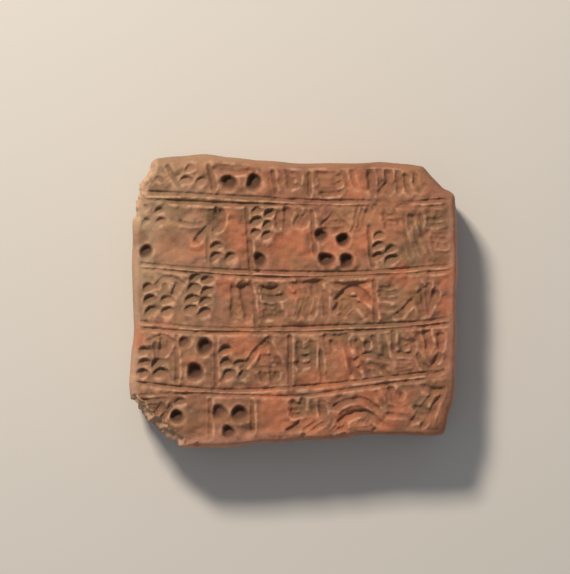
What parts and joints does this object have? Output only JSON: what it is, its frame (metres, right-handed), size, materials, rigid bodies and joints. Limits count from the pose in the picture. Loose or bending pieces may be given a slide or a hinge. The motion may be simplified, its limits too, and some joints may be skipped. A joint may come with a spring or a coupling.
{
  "type": "cuneiform tablet",
  "caption": "Cushion-shaped clay tablet with ruled registers, round and half-moon stylus dents and rows of shallow strokes, lying face up.",
  "frame": {"origin": "centre of the tablet's outline, on the flat patch of its back that it lies on", "axes": "+Z out of the inscribed face, +X to the right of the face, +Y towards its top edge"},
  "size_m": [0.103, 0.092, 0.024],
  "materials": {
    "fired_clay": "matte"
  },
  "bodies": {
    "root": {"clay_tablet": "fired_clay"}
  },
  "joints": []
}
